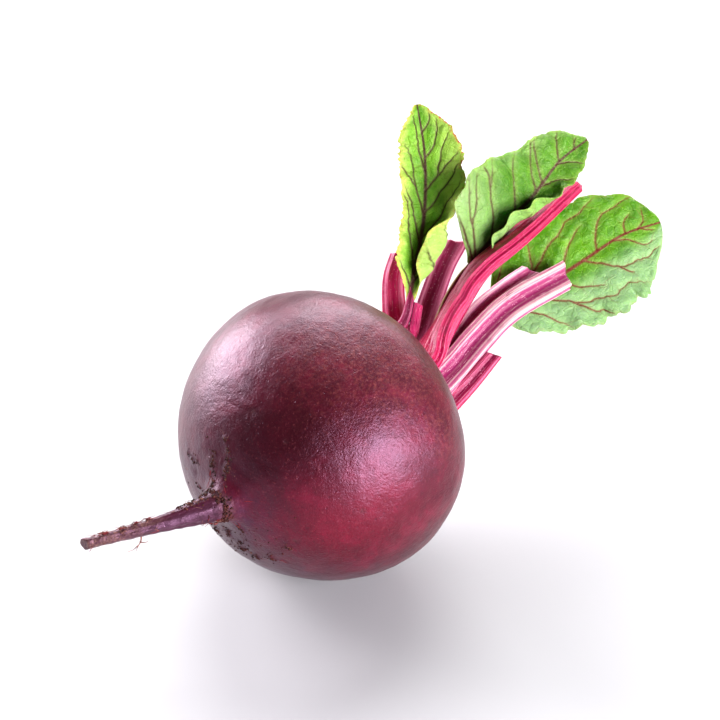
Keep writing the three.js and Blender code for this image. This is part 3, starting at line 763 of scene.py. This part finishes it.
# The leaf blades, with the same form as in the part's source. A vein is a row of points of two numbers
# each: hundredths of the blade's length, and of the way to its edge, below 0 on the left side.
BLADES = {
    "blade_tall": dict(
        midrib=[[49, 11, 53], [54, 13.5, 60], [59.5, 15.5, 67.5], [65, 18.5, 76.5], [70, 23, 89], [72.5, 28, 101.5]],
        faces=[[-0.62, -0.52, 0.56], [-0.6, -0.6, 0.5]],
        right=dict(half=[2.2, 10.5, 15, 11.5, 11.5, 10, 6], fold=[0, 22, 12, 4, 4, 6, 0], curl=8,
                   roll=[0, 128, 135, 45, 0, 0, 0], neck=0.4, ragged=0.9),
        left=dict(half=[2.2, 6.8, 7.4, 7.2, 8.2, 7.8, 4.5], fold=[0, 32, 22, 18, 14, 8, 0], curl=5,
                  neck=0.35, ragged=1.1),
        # Paler towards the left edge, as the leaf is; on the right half, painted light where the fold leaves it in
        # shade
        wave=0.8, waves=6.5, pale=lambda s, v: 0.75 * smoothstep(-v, 0.45, 1) + smoothstep(v, 0.2, 0.8) * (
            0.4 + 0.35 * smoothstep(s, 0.35, 0.45) - 0.35 * smoothstep(s, 0.6, 0.75)),
        veins=[
            [33, 0, 42, 28, 50, 53, 54, 72, 64, 92], [46, 0, 51, 23, 57, 42, 66, 75, 70, 95],
            [57, 0, 64, 30, 68, 53, 72, 70, 76, 95], [64, 30, 72, 40, 78, 50, 84, 85],
            [73, 0, 79, 28, 88, 57, 92, 80], [86, 0, 91, 40, 95, 70], [20, 0, 28, 30, 36, 60, 42, 90],
            [10, 0, 16, 35, 22, 65, 28, 90], [15, 0, 23, -20, 36, -60, 49, -78, 55, -95],
            [44, 0, 47, -10, 59, -40, 75, -55, 82, -85], [30, 0, 40, -35, 50, -60, 60, -90],
            [65, 0, 77, -20, 88, -25, 95, -50], [59, -40, 66, -75, 70, -95], [5, 0, 10, -40, 20, -80],
        ]),
    "blade_folded": dict(
        midrib=[[67, 3, 60.5], [71.5, 1, 65.5], [78, -1.5, 71.5], [86.5, -4, 77.5], [97, -5.5, 85], [107, -8, 89]],
        faces=[[-0.45, -0.8, 0.4], [-0.5, -0.7, 0.5]],
        right=dict(half=[2.2, 7.5, 9.5, 9.5, 7.5, 7, 5], fold=[0, 100, 100, 40, 15, 10, 0], curl=8,
                   roll=[0, 10, 25, 95, 30, 0, 0]),
        left=dict(half=[2.2, 18, 20.5, 17.5, 12.5, 9, 4.5], fold=[0, 32, 26, 18, 10, 5, 0], curl=-10),
        wave=1.1, waves=6.5, pale=lambda s, v: 0.3 * smoothstep(-v, 0.5, 1.0) + 0.6 * (1 - smoothstep(s, 0.2, 0.5)),
        veins=[
            [4, 0, 9, -33, 17, -50, 25, -80, 33, -100], [2, 0, 4, -40, 8, -72, 12, -82, 17, -98],
            [18, 0, 28, -23, 36, -57, 48, -97], [36, 0, 42, -12, 52, -53, 65, -97],
            [55, 0, 58, -10, 62, -33, 72, -82, 75, -97], [62, 0, 72, -65, 76, -95], [78, 0, 84, -60, 87, -95],
            [90, 0, 95, -70], [36, -57, 40, -80, 41, -97], [17, -50, 24, -60, 38, -95], [10, 0, 22, 35, 30, 80],
            [25, 0, 36, 35, 45, 85], [42, 0, 52, 40, 60, 90], [60, 0, 68, 40, 76, 90], [76, 0, 84, 40, 90, 90],
        ]),
    "blade_round": dict(
        midrib=[[68, -0.5, 44], [75.5, -5, 46.5], [85.5, -10.5, 50.5], [97, -16.5, 56.5], [108.5, -22, 62],
                [118, -28.5, 64.5]],
        faces=[[-0.64, -0.53, 0.56], [-0.64, -0.5, 0.58]],
        right=dict(half=[2.2, 9.5, 14.5, 18, 18.5, 17.5, 13], fold=[0, 6, 4, 4, 4, 0, 0], curl=-5, scallop=0.05),
        left=dict(half=[2.2, 13, 16, 17.5, 17, 13, 9], fold=[0, 12, 10, 8, 8, 6, 0], curl=-14),
        # Painted sheen over the blade's right half
        wave=0.9, waves=5.5, pale=lambda s, v: 0.8 * smoothstep(v, 0.1, 0.45),
        veins=[
            [20, 0, 33, -30, 45, -50, 64, -72, 72, -80, 78, -95], [3, 0, 5, -42, 12, -70, 17, -68, 25, -95],
            [45, 0, 54, -33, 60, -42, 66, -55], [65, 0, 69, -25, 75, -50, 80, -62, 86, -80, 90, -95],
            [82, 0, 83, -25, 87, -45], [88, 0, 92, -23, 93, -80], [33, -30, 36, -60, 40, -95],
            [19, 0, 21, 5, 32, 25, 42, 50, 54, 65, 63, 70, 74, 74, 84, 95], [10, 0, 20, 35, 30, 65, 36, 95],
            [40, 0, 50, 35, 60, 50], [57, 0, 64, 20, 70, 40, 83, 50, 93, 65, 97, 90], [75, 0, 82, 12, 88, 30, 95, 45],
            [90, 0, 96, 17], [42, 50, 50, 80, 56, 97], [70, 40, 74, 55, 76, 60],
        ]),
}
BLADE_ROWS, BLADE_SIDE = 230, 66
BEND_STEPS = 16
# Shares of the way out where the fold ends and the roll begins and ends, and of the length where the tip rounds off.
CREASE, TURN, TIP_ROUND = 0.25, (0.34, 0.7), 0.2
THICKNESS = 0.55


def half_width(side, s):
    """Half the width of a blade on one side: wavy, scalloped and torn."""
    teeth = 1 + 0.035 * np.sin(math.tau * 7 * s)
    teeth += side.get("scallop", 0.012) * np.abs(np.sin(math.tau * 8.5 * s + 0.6))
    rounded = np.sqrt(np.maximum(0, 1 - (np.maximum(0, s - 1 + TIP_ROUND) / TIP_ROUND) ** 2))
    wide = np.maximum(1, value_along(side["half"], s) * teeth * rounded)
    neck = mix(side.get("neck", 0.6), 1, smoothstep(s, 0.02, 0.2))
    place = zipped(s * 57, s * 0 + side["fold"][1], s * 0)
    torn = side.get("ragged", 0.45) * (np.abs(rough(place, 1.9)) + 0.6 * np.abs(rough(place + 9, 0.9)))
    return np.maximum(0.8, wide * neck - torn * smoothstep(s, 0.05, 0.15) * smoothstep(1 - s, 0, 0.03))


def blade_face(blade, s):
    """The way that the blade's upper side faces."""
    near_end, far_end = np.asarray(blade["faces"], float)
    return mix(near_end, far_end, s[:, None])


def blade_surface(blade, s, v):
    """Points on the middle of a blade, the way up from them, and their distance out from the midrib."""
    path = Path(blade["midrib"])
    forward, right, up = path.frame(s, blade_face(blade, s))
    reach = np.abs(v)
    across, height, slope = np.zeros_like(s), np.zeros_like(s), np.zeros_like(s)
    half = np.zeros_like(s)
    for side, chosen in ((blade["right"], v >= 0), (blade["left"], v < 0)):
        here, w = s[chosen], reach[chosen]
        wide = half_width(side, here)
        fold = np.radians(value_along(side["fold"], here))
        roll = np.radians(value_along(side.get("roll", [0, 0]), here))
        curl = math.radians(side["curl"])
        a, h = np.zeros_like(here), np.zeros_like(here)
        angle_at = lambda q: fold * smoothstep(q, 0, CREASE) + curl * q + roll * smoothstep(q, *TURN)
        for n in range(BEND_STEPS):
            angle = angle_at(w * (n + 0.5) / BEND_STEPS)
            a += np.cos(angle) * wide * w / BEND_STEPS
            h += np.sin(angle) * wide * w / BEND_STEPS
        across[chosen], height[chosen], slope[chosen], half[chosen] = a, h, angle_at(w), wide
    phase = math.tau * blade["waves"] * s + 1.9 * (v < 0)
    wave = blade["wave"] * np.sin(phase) * reach ** 2.2 * np.sin(math.pi * np.minimum(1, 1.05 * s))
    outward = right * np.where(v < 0, -1, 1)[:, None]
    points = path(s) + outward * (across - np.sin(slope) * wave)[:, None]
    points += up * (height + np.cos(slope) * wave)[:, None]
    return points, reach * half, half, path.length


def vein_lines(blade, length, seed):
    """The side veins laid flat, in mm, with their widths, and the twigs that branch from them."""
    rng = np.random.RandomState(seed)
    veins, twigs = [], []
    for vein in blade["veins"]:
        knots = np.reshape(vein, (-1, 2)) / 100
        share = np.linspace(0, 1, 5 * len(knots))
        s, v = value_along(knots[:, 0], share), value_along(knots[:, 1], share)
        wide = np.where(v < 0, half_width(blade["left"], s), half_width(blade["right"], s))
        line = zipped(s * length, v * wide)
        line[1:-1] += 0.05 * rng.normal(size=(len(line) - 2, 2))
        reached = reached_along(line)
        veins.append((line, share))
        place = rng.uniform(1.5, 3)
        sign = rng.choice([-1, 1])
        while place < reached[-1] - 0.5:
            start = np.array([np.interp(place, reached, line[:, k]) for k in (0, 1)])
            ahead = np.array([np.interp(place + 0.3, reached, line[:, k]) for k in (0, 1)]) - start
            turn = sign * rng.uniform(0.6, 1.1)
            point, twig = start, [start]
            heading = math.atan2(ahead[1], ahead[0]) + turn
            for k in range(rng.randint(2, 5)):
                heading += rng.uniform(-0.35, 0.35) - 0.1 * sign
                point = point + rng.uniform(0.6, 1.3) * np.array([math.cos(heading), math.sin(heading)])
                twig.append(point)
            twigs.append((np.array(twig), np.linspace(0, 1, len(twig))))
            place += rng.uniform(1.8, 4.2)
            sign = -sign
    return veins, twigs


def distance_to(lines, place):
    """For each flat place, the distance in mm to the nearest of the lines, and how far along that line it is."""
    best, along = np.full(len(place), 99.0), np.zeros(len(place))
    for line, share in lines:
        for k in range(len(line) - 1):
            step = line[k + 1] - line[k]
            gap = place - line[k]
            t = np.clip(gap @ step / (step @ step + 1e-9), 0, 1)
            d = np.hypot(gap[:, 0] - t * step[0], gap[:, 1] - t * step[1])
            closer = d < best
            best[closer] = d[closer]
            along[closer] = share[k] + (share[k + 1] - share[k]) * t[closer]
    return best, along


def leaf_material(name, green, light, pale, vein, edge, gloss_from):
    m = Material(name)
    flat = m.mask("flat", "Vector")
    net = m.spots(2.6, 0.0, 0.09, m.moved(flat), "DISTANCE_TO_EDGE", 0.9)
    small_net = m.spots(0.9, 0.0, 0.12, flat, "DISTANCE_TO_EDGE")
    blotch = m.noise(7, 4, 0.6, 0.5)
    grain = m.noise(0.4, 3, 0.6)
    m.base = m.over(green, light, m.step(blotch, 0.35, 0.68))
    m.coat((66, 104, 18), m.step(m.noise(2.2, 3, 0.6), 0.5, 0.75), 0.32)
    m.coat((150, 190, 60), net, 0.08)
    m.coat((60, 104, 8), small_net, 0.2)
    m.coat((96, 60, 34), m.step(m.noise(1.1, 4, 0.75), 0.64, 0.7), m.step(blotch, 0.45, 0.6), 0.5)
    m.coat((112, 152, 72), "under", 0.7)
    m.coat(edge, "edge", m.step(blotch, 0.35, 0.6))
    m.coat((150, 176, 84), "halo", 0.2)
    # The paler parts from each blade's pale mask: partly the leaves' own paler edges, partly painted sheen and painted
    # light
    m.coat(pale, "pale", 0.7)
    m.coat(vein, "twig", 0.5)
    m.coat(vein, "vein", 0.92)
    m.coat(m.over(vein, (186, 96, 110), "under"), "midrib")
    m.coat((150, 30, 44), "red", m.step(m.noise(0.8, 4, 0.7), 0.42, 0.6))
    return m.finish(
        m.base, m.math("MULTIPLY_ADD", grain, 0.2, gloss_from),
        [(net, -0.2, 0.5), (small_net, -0.12, 0.5), (grain, 0.1, 0.4)],
        Specular_IOR_Level=0.34, Specular_Tint=(225, 250, 180),
        Subsurface_Weight=0.25, Subsurface_Radius=(0.0008, 0.0014, 0.0003), Subsurface_Scale=1.0,
    )


def add_blade(name, material, red_edge):
    blade = BLADES[name]
    columns = 2 * BLADE_SIDE + 1
    step = np.linspace(0, 1, BLADE_ROWS)
    step = 1 - (1 - step) ** 1.15
    share = (np.arange(columns) - BLADE_SIDE) / BLADE_SIDE
    share = np.sign(share) * np.abs(share) ** 1.05
    s, v = np.repeat(step, columns), np.tile(share, BLADE_ROWS)
    middle, out, half, length = blade_surface(blade, s, v)
    place = zipped(s * length, np.sign(v) * out)
    veins, twigs = vein_lines(blade, length, len(name))
    distance, along = distance_to(veins, place)
    twig_distance, twig_along = distance_to(twigs, place)
    shape = middle.reshape(BLADE_ROWS, columns, 3)
    normal = unit(np.cross(np.gradient(shape, axis=0), np.gradient(shape, axis=1))).reshape(-1, 3)
    if (normal * blade_face(blade, s))[np.abs(v) < 0.05].sum() < 0:
        normal = -normal
    taper = mix(1, 0.12, s)
    width = mix(0.46, 0.2, np.clip(along, 0, 1)) * mix(1, 0.7, s)
    vein = bell(distance, width)
    twig = bell(twig_distance, 0.17) * mix(1, 0.2, twig_along)
    rib = bell(out, 1.3 * taper + 0.2)
    flat = zipped(s * length, np.sign(v) * out, s * 0 + len(name))
    quilt = (1 - bell(distance, 1.7)) * (1 - bell(out, 2.2))
    quilt = quilt * (0.42 + 0.42 * rough(flat, 3.4) + 0.2 * rough(flat + 30, 1.5))
    edge_gap = half * (1 - np.abs(v))
    ruffle = 0.5 * np.sin(flat[:, 0] * 1.3 + np.sign(v) + 1.5 * rough(flat, 7))
    ruffle *= bell(edge_gap, 2.5) * smoothstep(s, 0.05, 0.2)
    shift = (quilt - 0.15 + ruffle) * smoothstep(edge_gap, -0.5, 2.5)
    thick = THICKNESS / 2 * mix(0.45, 1, smoothstep(edge_gap, 0, 1.2))
    top = middle + normal * (shift + thick - 0.14 * vein + 0.1 * rib * taper)[:, None]
    bottom = middle + normal * (shift - thick - 0.22 * vein - 1.5 * taper * rib)[:, None]
    points = np.vstack([top, bottom])
    under = len(top)
    cells = grid_faces(BLADE_ROWS, columns)
    grid = np.arange(under).reshape(BLADE_ROWS, columns)
    loop = np.concatenate([grid[:-1, 0], grid[-1, :-1], grid[:0:-1, -1], grid[0, :0:-1]])
    ahead = np.roll(loop, -1)
    rim = zipped(loop, ahead, under + ahead, under + loop)
    edge = bell(edge_gap, 0.8)
    red = edge * red_edge(s, v)
    masks = {
        "flat": flat, "vein": np.clip(vein * 1.1 * smoothstep(1 - along, -0.1, 0.25), 0, 1),
        "halo": bell(distance, 1.1), "twig": twig, "pale": blade["pale"](s, v), "edge": 0.55 * edge, "red": red,
        "midrib": np.exp(-(out / (0.75 * taper + 0.18)) ** 4),
    }
    masks = {mask: np.concatenate([values, values]) for mask, values in masks.items()}
    masks["under"] = np.arange(2 * under) >= under
    faces = np.concatenate([cells, under + cells[:, ::-1], rim])
    add_mesh(name + "_fine", points, [faces], material, masks, name)


add_blade(
    "blade_tall",
    leaf_material("leaf_tall", (62, 118, 8), (98, 148, 30), (188, 204, 100), (54, 8, 24), (186, 196, 80), 0.38),
    lambda s, v: np.where(v > 0, 0.4 + 0.6 * smoothstep(s, 0.35, 0.7), 0.5),
)
add_blade(
    "blade_folded",
    leaf_material("leaf_folded", (42, 90, 6), (64, 114, 18), (134, 160, 104), (60, 12, 26), (120, 160, 66), 0.34),
    lambda s, v: 0.15,
)
add_blade(
    "blade_round",
    leaf_material("leaf_round", (44, 98, 1), (68, 120, 2), (126, 154, 116), (88, 4, 20), (96, 140, 30), 0.34),
    lambda s, v: 0.2,
)


# Rootlets, hairs and soil
def thread_material(name, dark, light):
    m = Material(name)
    shade = m.noise(1.2, 4, 0.7)
    return m.finish(
        m.over(dark, light, m.step(shade, 0.35, 0.65)), m.math("MULTIPLY_ADD", shade, 0.3, 0.5),
        [(m.noise(0.3, 3, 0.7), 0.06, 0.7)], Specular_IOR_Level=0.15,
    )


def skin_thread(knots, start, end, sides=6, wobble=0.0, seed=0):
    """A thread over the skin: knots are (along, angle, lift), smoothed, and it thins from start to end."""
    knots = np.asarray(knots, float)
    points = on_skin(knots[:, 0], knots[:, 1], knots[:, 2])
    path = Path(points)
    n = max(12, int(path.length / 0.5))
    t = np.linspace(0, 1, n)
    line = path(t)
    if wobble:
        bend = Noise(seed)
        bends = np.stack([bend(line + 11 * k, 2.2) for k in range(3)], axis=1)
        line = line + wobble * bends * np.minimum(1, 4 * t)[:, None]
    line[:, 2] = np.maximum(line[:, 2], start)
    return tube(line, mix(start, end, t), sides, lumps=0.25 * start)


def add_rootlets():
    rng = np.random.RandomState(11)
    red, pale = [], []
    # The longer ones that the photograph shows
    for group, knots, width in (
        (pale, [(-40.3, 107, 0.1), (-40.9, 121, 0.5), (-41.2, 137, 0.7), (-41.5, 166, 0.6), (-41, 199, 0.4)], 0.13),
        (red, [(-41.2, 157, 0.1), (-40.2, 160, 0.15), (-39.2, 161, 0.1)], 0.12),
        (red, [(-40, 61, 0.1), (-41.1, 74, 0.5), (-42.8, 101, 0.5), (-43.9, 134, 0.3)], 0.15),
        (red, [(-37.4, 83, 0.1), (-38.4, 94, 0.5), (-39, 107, 0.2)], 0.12),
        (pale, [(-39.5, 60, 0.1), (-38.8, 60, 1.0), (-38.3, 60, 1.4), (-37.6, 62, 1.2)], 0.12),
        (pale, [(-39.5, 62, 0.1), (-38.9, 68, 0.9), (-38.4, 76, 1.0), (-38, 84, 0.4)], 0.11),
        (pale, [(-40, 90, 0.1), (-39.4, 96, 0.7), (-39.6, 104, 0.9), (-40.2, 110, 0.3)], 0.1),
    ):
        group.append(skin_thread(knots, width, 0.04, wobble=0.25))
    for place, turn, width in ROOT_SCARS:
        for k in range(rng.randint(3, 8)):
            turned = turn + rng.uniform(-70, 70)
            reach = rng.uniform(1.2, 3.6)
            step = rng.uniform(-1, 0.6, size=3)
            knots = [(place, turn, 0.1)]
            for j in (1, 2, 3):
                share = j / 3
                lift = 0.3 + 0.5 * share * rng.rand()
                knots.append((place + step[j - 1] * reach * share, mix(turn, turned, share * 0.3), lift))
            which = red if rng.rand() < 0.45 else pale
            which.append(skin_thread(knots, rng.uniform(0.08, 0.17), 0.04, 5, 0.5, int(rng.randint(1000))))
    # Hairs along the tap root
    for k in range(30):
        along = rng.uniform(-73, -44.5)
        turn = rng.uniform(-180, 180)
        reach = rng.uniform(0.8, 3.2)
        knots = [(along, turn, 0.0)]
        for j in (1, 2, 3):
            ahead, aside, lift = rng.uniform(-0.4, 1), rng.uniform(-16, 16), rng.uniform(0.1, 1.0)
            knots.append((along - ahead * reach * j / 3, turn + aside * j, lift * j / 3))
        which = red if rng.rand() < 0.3 else pale
        which.append(skin_thread(knots, rng.uniform(0.07, 0.15), 0.03, 5, 0.4, int(rng.randint(1000))))
    # A branching rootlet under the tap root
    for knots, width in (
        ([(-61, -70, 0.0), (-61.6, -80, 1.6), (-62.4, -85, 3.6), (-63.4, -88, 5.2)], 0.32),
        ([(-62.2, -84, 2.8), (-61.2, -80, 4.0), (-60.2, -76, 4.6)], 0.16),
        ([(-62.6, -86, 3.8), (-64.2, -92, 4.2), (-65.2, -95, 4.3)], 0.14),
        ([(-60.8, -70, 0.1), (-58.4, -74, 0.8), (-56.2, -70, 0.7), (-54.2, -66, 0.5)], 0.16),
    ):
        pale.append(skin_thread(knots, width, 0.06, 7, 0.4, 5))
    for name, parts, dark, light in (
        ("rootlets_pale", pale, (70, 34, 30), (132, 88, 76)),
        ("rootlets_red", red, (60, 10, 16), (124, 34, 42)),
    ):
        points, faces = join(parts)
        points[:, 2] = np.maximum(points[:, 2], 0.02)
        add_mesh(name, points, faces, thread_material(name, dark, light), {})


def crumb(centre, size, seed):
    """A small lump of soil with uneven sides."""
    rng = np.random.RandomState(seed)
    sides, rings = 7, 5
    polar = np.linspace(0, math.pi, rings + 2)[1:-1]
    points = [[0, 0, 1]]
    for k, p in enumerate(polar):
        for j in range(sides):
            a = (j + 0.5 * (k % 2)) * math.tau / sides
            points.append([math.sin(p) * math.cos(a), math.sin(p) * math.sin(a), math.cos(p)])
    points.append([0, 0, -1])
    points = np.array(points) * (1 + rng.uniform(-0.3, 0.3, size=(len(points), 1))) * rng.uniform(0.6, 1.2, size=3)
    turn = np.linalg.qr(rng.normal(size=(3, 3)))[0]
    points = points @ turn * size + centre
    k = np.arange(sides)
    quads = grid_faces(rings, sides, 1, True)
    low = 1 + (rings - 1) * sides
    tris = np.concatenate([
        zipped(np.zeros(sides, int), 1 + (k + 1) % sides, 1 + k),
        zipped(np.full(sides, len(points) - 1), low + k, low + (k + 1) % sides),
    ])
    return points, [quads, tris]


def add_soil():
    rng = np.random.RandomState(23)
    spots = []
    for k in range(230):
        spots.append((rng.normal(-44.4, 0.7), rng.uniform(-180, 180), rng.uniform(0.15, 0.5)))
    for k in range(60):
        spots.append((rng.uniform(-53, -46), rng.normal(72, 22), rng.uniform(0.12, 0.4)))
    for place, turn, width in ROOT_SCARS:
        for k in range(int(16 * width) + 4):
            off, turned, size = rng.normal(0, 0.55 * width), rng.normal(0, 2.4 * width), rng.uniform(0.12, 0.4)
            spots.append((place + off, turn + turned, size * width ** 0.5))
    for k in range(90):
        spots.append((rng.uniform(-40, -34), rng.normal(-95, 28), rng.uniform(0.1, 0.3)))
    parts = []
    for k, (along, turn, size) in enumerate(spots):
        centre = on_skin([along], [turn], 0.25 * size)[0]
        if centre[2] > size:
            parts.append(crumb(centre, size, k))
    points, faces = join(parts)
    points[:, 2] = np.maximum(points[:, 2], 0.01)
    add_mesh("soil_crumbs", points, faces, thread_material("soil", (24, 8, 7), (72, 32, 28)), {})


add_rootlets()
add_soil()


# Floor, light and world
FLOOR_HALF = 30.0


def add_floor():
    mesh = bpy.data.meshes.new("floor")
    corners = [(x * FLOOR_HALF, y * FLOOR_HALF, 0) for x, y in ((-1, -1), (1, -1), (1, 1), (-1, 1))]
    mesh.from_pydata(corners, [], [(0, 1, 2, 3)])
    m = Material("floor")
    mesh.materials.append(m.finish(m.over((160, 160, 162), (164, 164, 165), m.noise(300, 2)), 0.7))
    floor = add_object("floor", mesh)


def add_light(name, direction, energy, kind="AREA", distance=1.0, **settings):
    data = bpy.data.lights.new(name, kind)
    data.energy = energy
    for key, value in settings.items():
        setattr(data, key, value)
    light = add_object(name, data)
    direction = Vector(direction).normalized()
    light.location = AIM + direction * distance
    light.rotation_euler = direction.to_track_quat("Z", "Y").to_euler()


def add_box(name, direction, distance, size, energy, tint=(1, 1, 1)):
    add_light(name, direction, energy, distance=distance, shape="RECTANGLE", size=size[0], size_y=size[1], color=tint)


add_floor()
add_box("left_box", (-0.05, 0.92, 0.38), 0.7, (0.52, 0.46), 14.8, (1, 0.95, 1))
add_box("right_box", (-0.12, -0.96, 0.24), 0.8, (0.58, 0.46), 24.5, (0.97, 0.94, 1))
add_box("side_box", (0.95, 0.05, 0.4), 0.9, (0.44, 0.4), 2.5)
add_light("back_sun", (0.62, 0.42, 0.64), 5.2, "SUN", angle=math.radians(42))
world = bpy.data.worlds.new("studio")
bpy.context.scene.world = world
world.use_nodes = True
world.node_tree.nodes["Background"].inputs["Color"].default_value = (1, 1, 1, 1)
world.node_tree.nodes["Background"].inputs["Strength"].default_value = 0.08
bpy.context.scene.view_settings.view_transform = "Standard"
